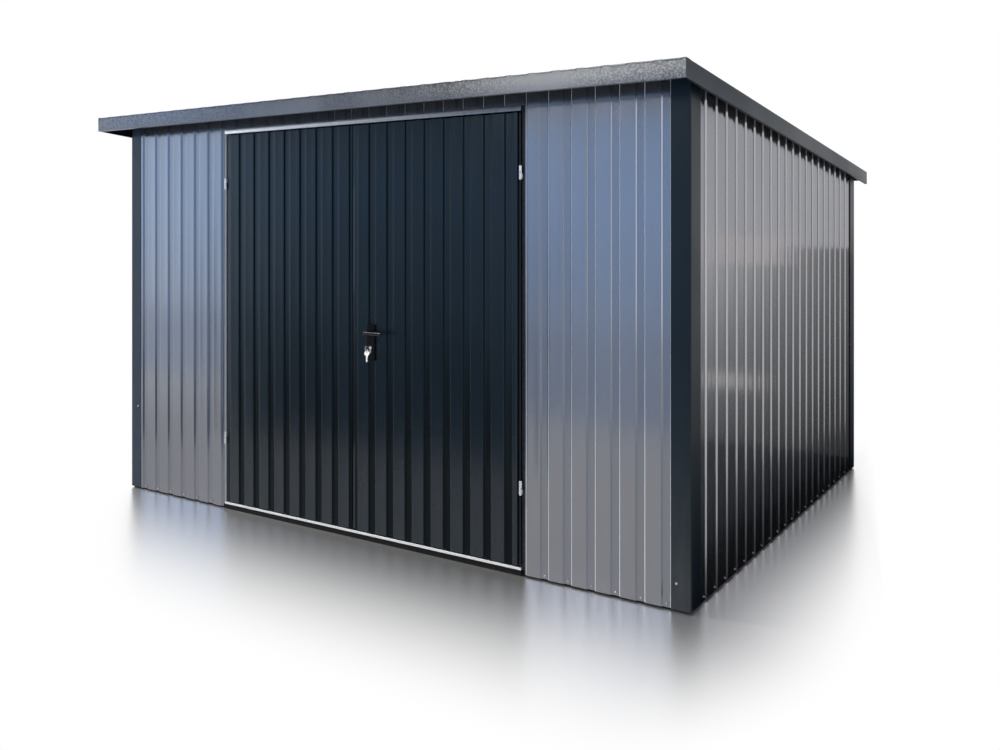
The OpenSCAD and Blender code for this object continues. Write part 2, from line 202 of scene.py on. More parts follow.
def painted(name, dark, light, rough, patch, grain, bump, dust=None, dust_low=0.0, dust_top=0.9,
            dust_share=0.5, hollow=None, hollow_share=0.0, rise=None, drop=None,
            speck=(0.35, 0.35, 0.7), **sockets):
    """Coated steel: broad patches of tone, fine grain, dust and painted light towards the ground,
    painted shade in the grooves and on the falling sides of a groove, and a painted highlight on the
    rising sides."""
    made, tree, shader, place = new_material(name, **sockets)
    metal = sockets.get("Metallic", 0.0)
    broad = cloud(tree, place, patch, 3.0)
    fine = cloud(tree, place, grain, 2.0)
    colour = mixed(tree, spread(tree, broad, 0.0, 1.0, 0.3, 0.7), dark, light)
    colour = mixed(tree, spread(tree, fine, 0.0, *speck), colour, light)
    roughness = spread(tree, broad, *rough, 0.3, 0.7)
    # Dust and painted light towards the ground
    if dust:
        share = dust_and_light_film(tree, place, dust_low, dust_top, dust_share)
        colour = mixed(tree, share, colour, dust)
        roughness = maths(tree, "ADD", times(tree, share, FILM_ROUGHNESS), roughness)
    # Painted shade in the grooves
    if hollow:
        colour = mixed(tree, painted_groove_shade(tree, place, hollow_share), colour, hollow)
    # Painted shade on the falling groove sides, and on a leaf's groove floors towards its foot
    if drop:
        painted_shade_share = attribute(tree, "drop")
        colour = mixed(tree, painted_shade_share, colour, drop)
        if not metal:
            tree.links.new(spread(tree, painted_shade_share, 0.0, PAINTED_SHADE_METAL), shader.inputs["Metallic"])
    # Painted highlight on the rising groove sides, and painted light on the marked trim leg
    if rise:
        highlight_share = attribute(tree, "rise")
        colour = mixed(tree, highlight_share, colour, rise)
        if metal:
            tree.links.new(spread(tree, highlight_share, metal, HIGHLIGHT_METAL), shader.inputs["Metallic"])
    coat(tree, shader, colour, roughness, fine, *bump)
    return made


def spangled(name, dark, light, rough, cell, left=None, turn=(-0.1, 0.1), **sockets):
    """Zinc coating: crystals of differing brightness with faint streaks, and where asked a painted
    lighter tone at the left of the door, which turns into the first between two places."""
    made, tree, shader, place = new_material(name, **sockets)
    crystals = node(tree, "TexVoronoi", {"Vector": place, "Scale": 1.0 / cell, "Randomness": 1.0})
    tone = node(tree, "SeparateColor", {0: crystals.outputs["Color"]}).outputs[0]
    streaks = cloud(tree, place, 25.0, 3.0, 0.6, (1.0, 1.0, 0.2))
    colour = mixed(tree, tone, dark, light)
    colour = mixed(tree, spread(tree, streaks, 0.0, 0.4, 0.4, 0.8), colour, dark)
    # Painted light at the left of the door
    if left:
        across = node(tree, "SeparateXYZ", {0: place}).outputs["X"]
        colour = mixed(tree, spread(tree, across, 1.0, 0.0, *turn), colour, left)
    coat(tree, shader, colour, spread(tree, tone, *rough), streaks, 0.15, 0.0004)
    return made


PAINTS = {
    # Its dust tone up to 1.2 m is partly painted light, neutral where sunlight falls; its hollow and
    # falling tones are painted shade, and its rising tone a painted highlight
    "silver_sheet": dict(
        dark=rgb(0.255, 0.265, 0.285), light=rgb(0.295, 0.305, 0.325), rough=(0.13, 0.19),
        patch=1.3, grain=900.0, bump=(0.05, 0.0002),
        dust=rgb(0.250, 0.247, 0.274), dust_top=1.2, dust_share=0.7,
        hollow=rgb(0.200, 0.220, 0.255), hollow_share=0.45,
        rise=rgb(0.84, 0.84, 0.86), drop=rgb(0.20, 0.215, 0.25), Metallic=0.88,
        Specular_Tint=rgb(0.60, 0.60, 0.62), Coat_Weight=0.12, Coat_Roughness=0.08),
    # Its dust tone on the lower leaves is partly a painted reflection of the lit ground; its hollow and
    # falling tones are painted shade, and its rising tone a painted highlight on a leaf's folded edge
    "anthracite_sheet": dict(
        dark=rgb(0.0040, 0.0095, 0.0145), light=rgb(0.0055, 0.0125, 0.0185), rough=(0.20, 0.28),
        patch=1.6, grain=700.0, bump=(0.05, 0.0002),
        dust=rgb(0.056, 0.042, 0.048), dust_low=0.40, dust_top=0.68, dust_share=0.42,
        hollow=rgb(0.0030, 0.0075, 0.0120), hollow_share=0.5,
        rise=rgb(0.13, 0.135, 0.14), drop=rgb(0.0003, 0.0007, 0.0014),
        Specular_IOR_Level=0.42, Specular_Tint=rgb(0.70, 0.92, 1.0)),
    # Its dust tone on the front legs is painted light, the reflection of the lit floor; its rising tone
    # is painted light on the left front trim's front leg
    "anthracite_trim": dict(
        dark=rgb(0.0050, 0.0120, 0.019), light=rgb(0.008, 0.0155, 0.024), rough=(0.34, 0.46),
        patch=2.0, grain=210.0, bump=(0.35, 0.0008),
        dust=rgb(0.100, 0.101, 0.101), dust_top=1.0, dust_share=0.8,
        rise=rgb(0.030, 0.046, 0.070), Specular_IOR_Level=0.26,
        Specular_Tint=rgb(0.75, 0.93, 1.0)),
    # A lighter, metallic copy of the trim paint with light specks, for the front fascia only: painted
    # sheen
    "fascia": dict(
        dark=rgb(0.066, 0.074, 0.084), light=rgb(0.210, 0.218, 0.228), rough=(0.26, 0.36),
        patch=2.0, grain=120.0, bump=(0.25, 0.0014), speck=(1.0, 0.42, 0.62), Metallic=0.75),
    "door_frame_paint": dict(
        dark=rgb(0.010, 0.014, 0.020), light=rgb(0.015, 0.020, 0.027), rough=(0.35, 0.5),
        patch=4.0, grain=500.0, bump=(0.1, 0.0003),
        dust=rgb(0.05, 0.048, 0.044), dust_top=0.5, dust_share=0.4, Specular_IOR_Level=0.2),
    # Near-black: partly the rails' own dark paint, partly painted shade for the dark line under the
    # walls and the sill
    "base_paint": dict(
        dark=rgb(0.005, 0.0055, 0.006), light=rgb(0.011, 0.0115, 0.012), rough=(0.5, 0.7),
        patch=6.0, grain=300.0, bump=(0.3, 0.0006),
        dust=rgb(0.05, 0.045, 0.038), dust_top=0.03, dust_share=0.3, Specular_IOR_Level=0.1),
    "black_metal": dict(
        dark=rgb(0.004, 0.004, 0.005), light=rgb(0.008, 0.008, 0.009), rough=(0.22, 0.32),
        patch=40.0, grain=1500.0, bump=(0.08, 0.0002), Specular_IOR_Level=0.3),
    "matt_black": dict(
        dark=rgb(0.0040, 0.0045, 0.0054), light=rgb(0.0065, 0.0070, 0.0082), rough=(0.40, 0.52),
        patch=40.0, grain=1500.0, bump=(0.10, 0.0002), Specular_IOR_Level=0.10),
}
ZINCS = {
    "galvanised": dict(
        dark=rgb(0.30, 0.315, 0.33), light=rgb(0.50, 0.51, 0.52), rough=(0.30, 0.48),
        cell=0.012, Metallic=0.85),
    # A near-white copy of the galvanised finish for the sill: painted highlight
    "sill_zinc_painted_highlight": dict(
        dark=rgb(0.90, 0.89, 0.86), light=rgb(0.96, 0.95, 0.92), rough=(0.45, 0.55),
        cell=0.012, Metallic=0.35),
    # Its pale tone at the left, fading out across the lintel, is a painted highlight
    "lintel_zinc_painted_highlight": dict(
        dark=rgb(0.22, 0.225, 0.24), light=rgb(0.28, 0.285, 0.30), rough=(0.10, 0.14),
        cell=0.012, left=rgb(0.96, 0.95, 0.95), turn=(-0.9, 0.9), Metallic=0.8),
    # Door posts: the dark tone on the right post is painted shade in the gap, the paler tone on the left
    # post painted light
    "post_zinc_painted_light_and_shade": dict(
        dark=rgb(0.012, 0.014, 0.018), light=rgb(0.030, 0.033, 0.038), rough=(0.40, 0.55),
        cell=0.012, left=rgb(0.42, 0.43, 0.45), Metallic=0.4, Specular_IOR_Level=0.2),
    "zinc_plate": dict(
        dark=rgb(0.70, 0.72, 0.75), light=rgb(0.86, 0.87, 0.88), rough=(0.22, 0.34),
        cell=0.004, Metallic=0.75),
    "nickel": dict(
        dark=rgb(0.88, 0.87, 0.84), light=rgb(0.96, 0.95, 0.92), rough=(0.18, 0.30),
        cell=0.003, Metallic=1.0),
}
MATERIALS = {name: painted(name, **look) for name, look in PAINTS.items()}
MATERIALS.update({name: spangled(name, **look) for name, look in ZINCS.items()})


# Mesh helpers

SHARP_EDGE = math.radians(38)


def piece(name, verts, faces, body, slot, replaces=(), marks=None, finish=None):
    """Object on a body from closed surfaces, its faces turned outwards and smoothed. It carries
    marks at its points for the material, and a finish where that isn't the slot's own."""
    mesh = bpy.data.meshes.new(name)
    mesh.from_pydata([tuple(v) for v in verts], [], faces)
    work = bmesh.new()
    work.from_mesh(mesh)
    for key, values in (marks or {}).items():
        layer = work.verts.layers.float.new(key)
        for v, mark in zip(work.verts, values):
            v[layer] = mark
    loose = [v for v in work.verts if not v.link_faces]
    bmesh.ops.delete(work, geom=loose, context="VERTS")
    bmesh.ops.recalc_face_normals(work, faces=work.faces)
    work.to_mesh(mesh)
    work.free()
    mesh.shade_smooth()
    mesh.set_sharp_from_angle(angle=SHARP_EDGE)
    mesh.materials.append(MATERIALS[finish or slot])
    made = bpy.data.objects.new(name, mesh)
    bpy.context.scene.collection.objects.link(made)
    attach(made, body)
    if replaces:
        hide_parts(*replaces)
    return made


def soften(made, width, angle=30):
    """Small bevel on the edges that are sharper than an angle in degrees."""
    soft = made.modifiers.new("soft", "BEVEL")
    soft.width, soft.segments, soft.limit_method = width, 2, "ANGLE"
    soft.angle_limit = math.radians(angle)


def joined(*parts):
    """Vertices and faces of several parts as one."""
    verts, faces = [], []
    for more_verts, more_faces in parts:
        start = len(verts)
        verts += list(more_verts)
        faces += [tuple(i + start for i in f) for f in more_faces]
    return verts, faces


def moved(part, matrix):
    verts, faces = part
    return [matrix @ Vector(v) for v in verts], faces


# Half the angle at a corner, in radians, from which a path counts as straight
STRAIGHT = 1.55


def fillet(points, radius, steps=3):
    """Flat path with its inner corners rounded."""
    path = [Vector(p) for p in points]
    out = [path[0]]
    for a, b, c in zip(path, path[1:], path[2:]):
        back, on = (a - b).normalized(), (c - b).normalized()
        half = back.angle(on) / 2
        if half > STRAIGHT:
            out.append(b)
            continue
        r = min(radius, 0.45 * min((a - b).length, (c - b).length) * math.tan(half))
        centre = b + (back + on).normalized() * (r / math.sin(half))
        first = b + back * (r / math.tan(half)) - centre
        last = b + on * (r / math.tan(half)) - centre
        for i in range(steps + 1):
            out.append(centre + first.lerp(last, i / steps).normalized() * r)
    return out + [path[-1]]


def finer(path, step):
    """Flat path with points added along its long stretches."""
    out = [path[0]]
    for a, b in zip(path, path[1:]):
        parts = max(1, round((b - a).length / step))
        out += [a.lerp(b, i / parts) for i in range(1, parts + 1)]
    return out


def beside(path, distance):
    """Flat path moved to its left side."""
    out = []
    for i, p in enumerate(path):
        before = (p - path[i - 1]).normalized() if i else None
        after = (path[i + 1] - p).normalized() if i + 1 < len(path) else None
        along = ((before or after) + (after or before)).normalized()
        stretch = max(0.35, along.dot(after or before))
        out.append(p + Vector((-along.y, along.x)) * (distance / stretch))
    return out


def steps_between(a, b, step, extra=()):
    """Even places from a to b, about a step apart, and the extra ones."""
    parts = max(2, round((b - a) / step))
    return sorted([a + (b - a) * i / parts for i in range(parts + 1)] + list(extra))


def shell(outer, inner, rows, place, holes=()):
    """Closed thin wall: an outer and an inner face over one grid, joined along the rim and the holes."""
    n, m = len(outer), len(rows)
    verts = [place(p.x, p.y, v) for face in (outer, inner) for v in rows for p in face]

    def solid(j, i):
        if not (0 <= j < m - 1 and 0 <= i < n - 1):
            return False
        u, v = (outer[i].x + outer[i + 1].x) / 2, (rows[j] + rows[j + 1]) / 2
        return not any(u0 < u < u1 and v0 < v < v1 for u0, u1, v0, v1 in holes)

    def at(face, j, i):
        return (face * m + j) * n + i

    faces = []
    for j in range(m - 1):
        for i in range(n - 1):
            if not solid(j, i):
                continue
            ring = [(j, i), (j, i + 1), (j + 1, i + 1), (j + 1, i)]
            faces.append(tuple(at(0, *c) for c in ring))
            faces.append(tuple(at(1, *c) for c in reversed(ring)))
            beyond = [(j - 1, i), (j, i + 1), (j + 1, i), (j, i - 1)]
            for k, cell in enumerate(beyond):
                if not solid(*cell):
                    a, b = ring[k], ring[(k + 1) % 4]
                    faces.append((at(0, *b), at(0, *a), at(1, *a), at(1, *b)))
    return verts, faces


# Grooved sheets

def groove_depth(u, centre):
    """Depth of the outer face at a place across the width."""
    edge = FLOOR / 2 + SIDE
    off = abs((u - centre + PITCH / 2) % PITCH - PITCH / 2)
    return DEPTH * min(1.0, max(0.0, (edge - off) / SIDE))


def groove_profile(u0, u1, centre, folds=(0, 0), extra=()):
    """Outer face across the width: places and depths, with the side edges folded back where asked."""
    edge = FLOOR / 2 + SIDE
    corners = [(u0, groove_depth(u0, centre))]
    if folds[0]:
        corners.insert(0, (u0, folds[0]))
    first = math.floor((u0 - centre) / PITCH)
    for k in range(first, first + math.ceil((u1 - u0) / PITCH) + 2):
        for s, d in ((-edge, 0.0), (-FLOOR / 2, DEPTH), (FLOOR / 2, DEPTH), (edge, 0.0)):
            u = centre + k * PITCH + s
            if u0 + SIDE / 2 < u < u1 - SIDE / 2:
                corners.append((u, d))
    corners.append((u1, groove_depth(u1, centre)))
    if folds[1]:
        corners.append((u1, folds[1]))
    path = finer(fillet(corners, BEND), 0.0115)
    for u in extra:
        i = next(i for i in range(len(path) - 1) if path[i].x < u < path[i + 1].x)
        share = (u - path[i].x) / (path[i + 1].x - path[i].x)
        path.insert(i + 1, path[i].lerp(path[i + 1], share))
    return path


def swell(u, w, v, centre, seed):
    """Slight hollow of a crest between two grooves, which no real sheet is free of."""
    if w > 0.002:
        return 0.0
    edge = FLOOR / 2 + SIDE
    k = math.floor((u - centre) / PITCH)
    s = ((u - centre) - k * PITCH - edge) / (PITCH - 2 * edge)
    if not 0.0 < s < 1.0:
        return 0.0
    wide = noise.noise(Vector((seed, k * 0.35, v * 1.1)))
    own = noise.noise(Vector((seed + 9.0, k * 7.3, v * 2.3)))
    return WAVE * math.sin(math.pi * s) * min(1.0, max(0.0, 0.5 + 0.7 * wide + 0.45 * own))


# How strongly the painted highlight on the rising groove sides shows, by place across and share of
# height
def even_shine(u, t):
    return 1.0


def no_shine(u, t):
    return 0.0


def side_shine(u, t):
    """Less painted highlight on the groove sides towards the ground and the back."""
    return 0.42 * t + (1.0 - t) * max(0.05, 0.33 - 0.20 * u)


def leaf_shine(u, t):
    """Painted highlight on the leaf's folded edge, only over parts of its height."""
    return 0.5 if t < 0.18 or 0.60 < t < 0.86 else 0.04


# Share of a leaf's height up to which painted shade darkens its groove floors, and how strongly
SHADE_REACH, LEAF_SHADE = 0.5, 1.3
# Width and depth at a leaf's left end from which its folded edge gets the painted highlight, and width
# at the ends of the other sheets where no groove side gets it
FOLD_WIDTH, FOLD_DEPTH, END = 0.0012, 0.0002, 0.002


def groove_marks(outer, span, rows, slot, shine, shade):
    """Marks for the material: depth for the painted groove shade, painted shade on falling sides and on
    floors towards a leaf's foot, and a painted highlight on shining sides.
    """
    on_side = [NEAR < p.y < DEPTH - NEAR for p in outer]
    on_floor = [p.y > DEPTH - NEAR for p in outer]
    falls = [i + 1 < len(outer) and outer[i + 1].y > p.y for i, p in enumerate(outer)]
    if slot == "anthracite_sheet":
        shines = [p.x < span[0] + FOLD_WIDTH and p.y > FOLD_DEPTH for p in outer]
    else:
        inside = [span[0] + END < p.x < span[1] - END for p in outer]
        shines = [s and i and not f for s, i, f in zip(on_side, inside, falls)]
    marks = {"hollow": [], "drop": [], "rise": []}
    for v in rows:
        t = (v - rows[0]) / (rows[-1] - rows[0])
        foot = min(1.0, shade * max(0.0, 1.0 - t / SHADE_REACH))
        # Depth, which sets the painted shade in the grooves
        marks["hollow"] += [min(1.0, p.y / DEPTH) for p in outer]
        # Painted shade on falling groove sides, and on floors towards a leaf's foot
        marks["drop"] += [max(float(s and f), d * foot)
                          for s, f, d in zip(on_side, falls, on_floor)]
        # Painted highlight on rising groove sides
        marks["rise"] += [s * shine(p.x, t) for s, p in zip(shines, outer)]
    return {key: values * 2 for key, values in marks.items()}


def grooved_sheet(name, span, centre, rows, place, body, slot, seed, folds=(0, 0), holes=(),
                  shine=even_shine, shade=0.0):
    """Piece that replaces the CAD sheet of the same name."""
    extra = sorted({u for h in holes for u in h[:2]})
    outer = groove_profile(*span, centre, folds, extra)

    def waved(u, w, v):
        return place(u, w + swell(u, w, v, centre, seed), v)

    piece(name + "_metal", *shell(outer, beside(outer, SHEET), rows, waved, holes), body, slot,
          (name,), marks=groove_marks(outer, span, rows, slot, shine, shade))


fascia_low, fascia_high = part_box("left_fascia")
FALL = (fascia_high.z - fascia_low.z - FASCIA) / (fascia_high.y - fascia_low.y)
ROOF_ANGLE = math.atan(FALL)


def roof_line(y):
    """Height of the roof edge's line."""
    return cad_high.z - FALL * (y - cad_low.y)


def front_sheet(name, body, slot, centre, seed, holes=(), **look):
    low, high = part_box(name)
    rows = steps_between(low.z, high.z, 0.085, [v for h in holes for v in h[2:]])

    def place(u, w, v):
        return (u, FRONT_FACE + w, v)

    grooved_sheet(name, (low.x, high.x), centre, rows, place, body, slot, seed, holes=holes,
                  **look)


def side_sheet(name, side, seed):
    """Wall whose top follows the roof."""
    low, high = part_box(name)
    drop = roof_line(low.y) - high.z
    rows = steps_between(0.0, 1.0, 0.042)

    def place(u, w, v):
        top = roof_line(u) - drop
        return (side * (SIDE_FACE - w), u, low.z + v * (top - low.z))

    grooved_sheet(name, (low.y, high.y), SIDE_GROOVE, rows, place, "shed", "silver_sheet", seed,
                  shine=side_shine)


def back_sheet(seed):
    low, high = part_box("back_wall")

    def place(u, w, v):
        return (u, BACK_FACE - w, v)

    grooved_sheet("back_wall", (low.x, high.x), FRONT_GROOVE,
                  steps_between(low.z, high.z, 0.09), place, "shed", "silver_sheet", seed)


def roof_sheet(seed):
    """Sheet with its ribs upwards, along the fall of the roof."""
    low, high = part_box("roof_sheet")
    cos, sin = math.cos(ROOF_ANGLE), math.sin(ROOF_ANGLE)
    thick = DEPTH + SHEET
    length = (high.y - low.y - thick * sin) / cos
    start_z = high.z - thick * cos

    def place(u, w, v):
        return (u, low.y + v * cos + w * sin, start_z - v * sin + w * cos)

    grooved_sheet("roof_sheet", (low.x, high.x), ROOF_GROOVE,
                  steps_between(0.0, length, 0.11), place, "shed", "anthracite_sheet", seed)


# Depth of the folded edges beside the door, and the lock's openings: left, right, low, high
FOLD = 0.0082
LOCK_HOLES = [
    (LOCK_X - 0.0098, LOCK_X + 0.0098, LEVER_Z - 0.0098, LEVER_Z + 0.0098),
    (LOCK_X - 0.0092, LOCK_X + 0.0092, CYLINDER_Z - 0.0252, CYLINDER_Z + 0.0092),
]
front_sheet("front_left_wall", "shed", "silver_sheet", FRONT_GROOVE, 1.0, folds=(0, FOLD))
front_sheet("front_right_wall", "shed", "silver_sheet", FRONT_GROOVE, 2.0, folds=(FOLD, 0))
front_sheet("front_header", "shed", "silver_sheet", FRONT_GROOVE, 3.0)
side_sheet("left_wall", -1, 4.0)
side_sheet("right_wall", 1, 5.0)
back_sheet(6.0)
roof_sheet(7.0)
# The leaves get painted shade on their groove floors towards the foot, and the right one also a painted
# highlight on its folded left edge
front_sheet("left_door_sheet", "left_door", "anthracite_sheet", LEFT_GROOVE, 8.0,
            folds=(FOLD, FOLD), shine=no_shine, shade=LEAF_SHADE)
front_sheet("right_door_sheet", "right_door", "anthracite_sheet", RIGHT_GROOVE, 9.0, LOCK_HOLES,
            folds=(FOLD, FOLD), shine=leaf_shine, shade=LEAF_SHADE)


# Folded trims

# Bend and legs of the corner trims, and how far their front legs bow
TRIM_BEND, TRIM_FRONT, TRIM_SIDE, TRIM_BOW = 0.003, 0.084, 0.095, 0.0005
# Distance from a corner up to which a point lies on the front, and from which on a leg
ON_FRONT, ON_LEG = 0.002, 0.004


def strip(path, radius, rows, place):
    """Folded strip of trim metal along straight rows."""
    outer = finer(fillet(path, radius, 5), 0.03)
    return shell(outer, beside(outer, TRIM), rows, place)


def corner_trims(name, front):
    """Angle strips over the two corners of the front or the back. Their side legs carry neither dust nor
    its painted light, and the left front one has painted light on its front leg."""
    low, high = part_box(name)
    corner_y, inward = (low.y, 1) if front else (high.y, -1)
    rows = steps_between(low.z, high.z, 0.12)
    path = [(TRIM_FRONT, 0.0), (0.0, 0.0), (0.0, TRIM_SIDE)]
    outer = finer(fillet(path, TRIM_BEND, 5), 0.02)
    parts, film_free, pale = [], [], []
    for side in (-1, 1):
        corner_x = side * high.x

        def place(a, b, v, side=side, corner_x=corner_x):
            bow = TRIM_BOW * noise.noise(Vector((corner_x, corner_y, v * 1.7)))
            return (corner_x - side * (a + bow * (b < ON_FRONT)), corner_y + inward * b, v)

        parts.append(shell(outer, beside(outer, TRIM), rows, place))
        # Side legs are left out of the dust film and its painted light
        film_free += [float(p.y > ON_LEG) for p in outer] * (2 * len(rows))
        # Painted light on the left front trim's front leg
        pale += [float(front and side < 0 and p.x > ON_LEG) for p in outer] * (2 * len(rows))
    piece(name + "_fold", *joined(*parts), "shed", "anthracite_trim", (name,),
          marks={"film_free": film_free, "rise": pale})


CRISP_BEND = 0.0012


def front_fascia():
    """Upright face that leans a little, with a crisp top edge."""
    low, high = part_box("front_fascia")
    path = [(HEM, FASCIA), (0.0, FASCIA), (LEAN, 0.0), (FLANGE, 0.0)]

    def place(a, b, v):
        y = low.y + a
        return (v, y, roof_line(y) - b)

    made = strip(path, CRISP_BEND, steps_between(low.x, high.x, 0.15), place)
    # The front fascia gets the lighter copy of the trim paint: painted sheen
    piece("front_fascia_fold", *made, "shed", "anthracite_trim", ("front_fascia",),
          finish="fascia")


def side_fascia(name, side):
    """Upright face and a flange that starts behind the front fascia's."""
    low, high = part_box(name)
    edge = max(abs(low.x), abs(high.x))
    path = [(HEM, FASCIA), (0.0, FASCIA), (0.0, 0.0), (FLANGE, 0.0)]

    def place(a, b, v):
        on_flange = b < ON_FRONT / 2 and a > ON_LEG
        start = low.y + (FLANGE if on_flange else 0.0)
        y = start + v * (high.y - start)
        return (side * (edge - a), y, roof_line(y) - b)

    made = strip(path, TRIM_BEND, steps_between(0.0, 1.0, 0.05), place)
    piece(name + "_fold", *made, "shed", "anthracite_trim", (name,))


DRIP, DRIP_HEM = 0.045, 0.008


def back_drip():
    low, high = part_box("back_drip_edge")
    top = high.z - roof_line(low.y)

    def place(a, b, v):
        y = high.y - a
        return (v, y, roof_line(y) + top - b)

    path = [(DRIP_HEM, DRIP), (0.0, DRIP), (0.0, 0.0), (FLANGE, 0.0)]
    made = strip(path, TRIM_BEND, steps_between(low.x, high.x, 0.15), place)
    piece("back_drip_edge_fold", *made, "shed", "anthracite_trim", ("back_drip_edge",))


corner_trims("front_corner_trims", True)
corner_trims("back_corner_trims", False)
front_fascia()
side_fascia("left_fascia", -1)
side_fascia("right_fascia", 1)
back_drip()


# Frame bars keep their solids, with softened edges

def keep(name, finish, width=0.0012):
    made = NODES[name]
    for used in made.material_slots:
        used.material = MATERIALS[finish]
    weld = made.modifiers.new("weld", "WELD")
    weld.merge_threshold = 0.00005
    soften(made, width, 40)
    made.modifiers.new("even", "WEIGHTED_NORMAL")


KEPT = {
    "galvanised": ["front_corner_posts", "back_corner_posts", "front_top_rail", "back_top_rail",
                   "side_top_rails", "roof_purlins", "side_mid_rails", "back_mid_rail",
                   "front_mid_rails", "lock_case"],
    # Lintel: pale left part is a painted highlight
    "lintel_zinc_painted_highlight": ["door_lintel"],
    # Door posts: painted shade on the right, painted light on the left
    "post_zinc_painted_light_and_shade": ["door_posts"],
    # Base rails: near-black, partly painted shade
    "base_paint": ["side_base_rails", "back_base_rail", "front_base_rails", "door_base_rail"],
    "door_frame_paint": ["left_door_stiles", "left_door_rails", "right_door_stiles",
                         "right_door_rails"],
    "matt_black": ["handle_plates"],
    "black_metal": ["lever_handle"],
}
for finish, names in KEPT.items():
    for name in names:
        keep(name, finish)
keep("lock_cylinder", "nickel", 0.0003)


# Sill

LIP, LIP_THICK = 0.008, 0.002


def sill():
    """Sill strip with its front edge turned up, left out of reflections on the floor."""
    low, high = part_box("door_sill")
    outline = [(low.y, low.z), (high.y, low.z), (high.y, high.z), (low.y + LIP_THICK, high.z),
               (low.y + LIP_THICK, high.z + LIP), (low.y, high.z + LIP)]
    places, n = steps_between(low.x, high.x, 0.2), len(outline)
    verts = [(x, y, z) for x in places for y, z in outline]
    faces = [tuple(range(n)), tuple((len(places) - 1) * n + j for j in range(n))]
    for i in range(len(places) - 1):
        for j in range(n):
            k = (j + 1) % n
            faces.append((i * n + j, i * n + k, (i + 1) * n + k, (i + 1) * n + j))
    # The sill's near-white zinc is a painted highlight
    made = piece("door_sill_lip", verts, faces, "shed", "galvanised", ("door_sill",),
                 finish="sill_zinc_painted_highlight")
    soften(made, 0.0005)
    made.visible_glossy = False


sill()


# Hinges

def lathe(profile, count):
    """Closed turned body on the z axis from radii and heights."""
    verts, faces = [], []
    for r, z in profile:
        for i in range(count):
            a = 2 * math.pi * i / count
            verts.append((r * math.cos(a), r * math.sin(a), z))
    for j in range(len(profile) - 1):
        for i in range(count):
            k = (i + 1) % count
            faces.append((j * count + i, j * count + k, (j + 1) * count + k, (j + 1) * count + i))
    faces.append(tuple(reversed(range(count))))
    faces.append(tuple((len(profile) - 1) * count + i for i in range(count)))
    return verts, faces


def box(low, high):
    """Block between two corners."""
    verts = [(x, y, z) for x in (low[0], high[0]) for y in (low[1], high[1])
             for z in (low[2], high[2])]
    faces = [(0, 1, 3, 2), (4, 6, 7, 5), (0, 4, 5, 1), (2, 3, 7, 6), (0, 2, 6, 4), (1, 5, 7, 3)]
    return verts, faces


# Heights of the hinges, from the ends of a leaf, and a half barrel's radii and heights
leaf_low, leaf_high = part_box("left_door_stiles")
HINGE_HEIGHTS = (leaf_low.z + 0.333, leaf_high.z - 0.257)
HALF_BARREL = [(0.0064, 0.0006), (0.0070, 0.0012), (0.0070, 0.0270), (0.0067, 0.0288),
               (0.0056, 0.0303), (0.0030, 0.0310)]
# A tab's thickness, its ends from the axis, and its ends from the middle of the hinge
TAB_THICK, TAB_ENDS, TAB_SPAN = 0.0035, (0.002, 0.0075), (0.004, 0.026)


def hinge_halves(name, body, joint, upwards, side):
    """Half barrels with a rounded end, each welded to the frame by a thin tab."""
    axis, axis_y, parts = JOINTS[joint].x, JOINTS[joint].y, []
    for z in HINGE_HEIGHTS:
        barrel = lathe([(r, upwards * h) for r, h in HALF_BARREL], 28)
        parts.append(moved(barrel, Matrix.Translation((axis, axis_y, z))))
        ends = sorted(axis + side * end for end in TAB_ENDS)
        span = sorted(z + upwards * end for end in TAB_SPAN)
        parts.append(box((ends[0], FRAME_FACE - TAB_THICK, span[0]),
                         (ends[1], FRAME_FACE, span[1])))
    piece(name + "_turned", *joined(*parts), body, "zinc_plate", (name,))


for leaf, side in (("left", -1), ("right", 1)):
    swing = leaf + "_door_swing"
    hinge_halves(leaf + "_hinge_pins", "shed", swing, -1, side)
    hinge_halves(leaf + "_hinge_knuckles", leaf + "_door", swing, 1, -side)


# Keys

# A key's thickness, the radii of its bow and of the hole in it, and the hole's distance
KEY_THICK, BOW, BOW_HOLE, HOLE_OFF = 0.0025, 0.012, 0.0035, 0.0065
# Radii of the key ring and its wire, and places of the ring and the second key
RING, WIRE = 0.0078, 0.0008
KEY_Y, RING_Z, LOW_KEY_Z = FRONT_FACE - 0.033, CYLINDER_Z - 0.012, CYLINDER_Z - 0.024
KEY_TURN = math.radians(-35)
# Lengths of the two blades, half their width, how far they reach into the bow, and their cuts
BLADE, LOW_BLADE, BLADE_HALF, BLADE_ROOT, CUT, CUTS = 0.0105, 0.029, 0.004, 0.001, 0.0014, 9
BOW_POINTS = 36


def slab(near, far, closed):
    """Flat strip between two outlines, with the thickness of a key."""
    n = len(near)
    verts = [(a, b, c) for c in (-KEY_THICK / 2, KEY_THICK / 2) for line in (near, far)
             for a, b in line]
    faces = []
    for i in range(n if closed else n - 1):
        k = (i + 1) % n
        faces += [(i, k, n + k, n + i), (2 * n + i, 3 * n + i, 3 * n + k, 2 * n + k),
                  (i, 2 * n + i, 2 * n + k, k), (n + i, n + k, 3 * n + k, 3 * n + i)]
    if not closed:
        faces += [(0, n, 3 * n, 2 * n), (n - 1, 3 * n - 1, 4 * n - 1, 2 * n - 1)]
    return verts, faces


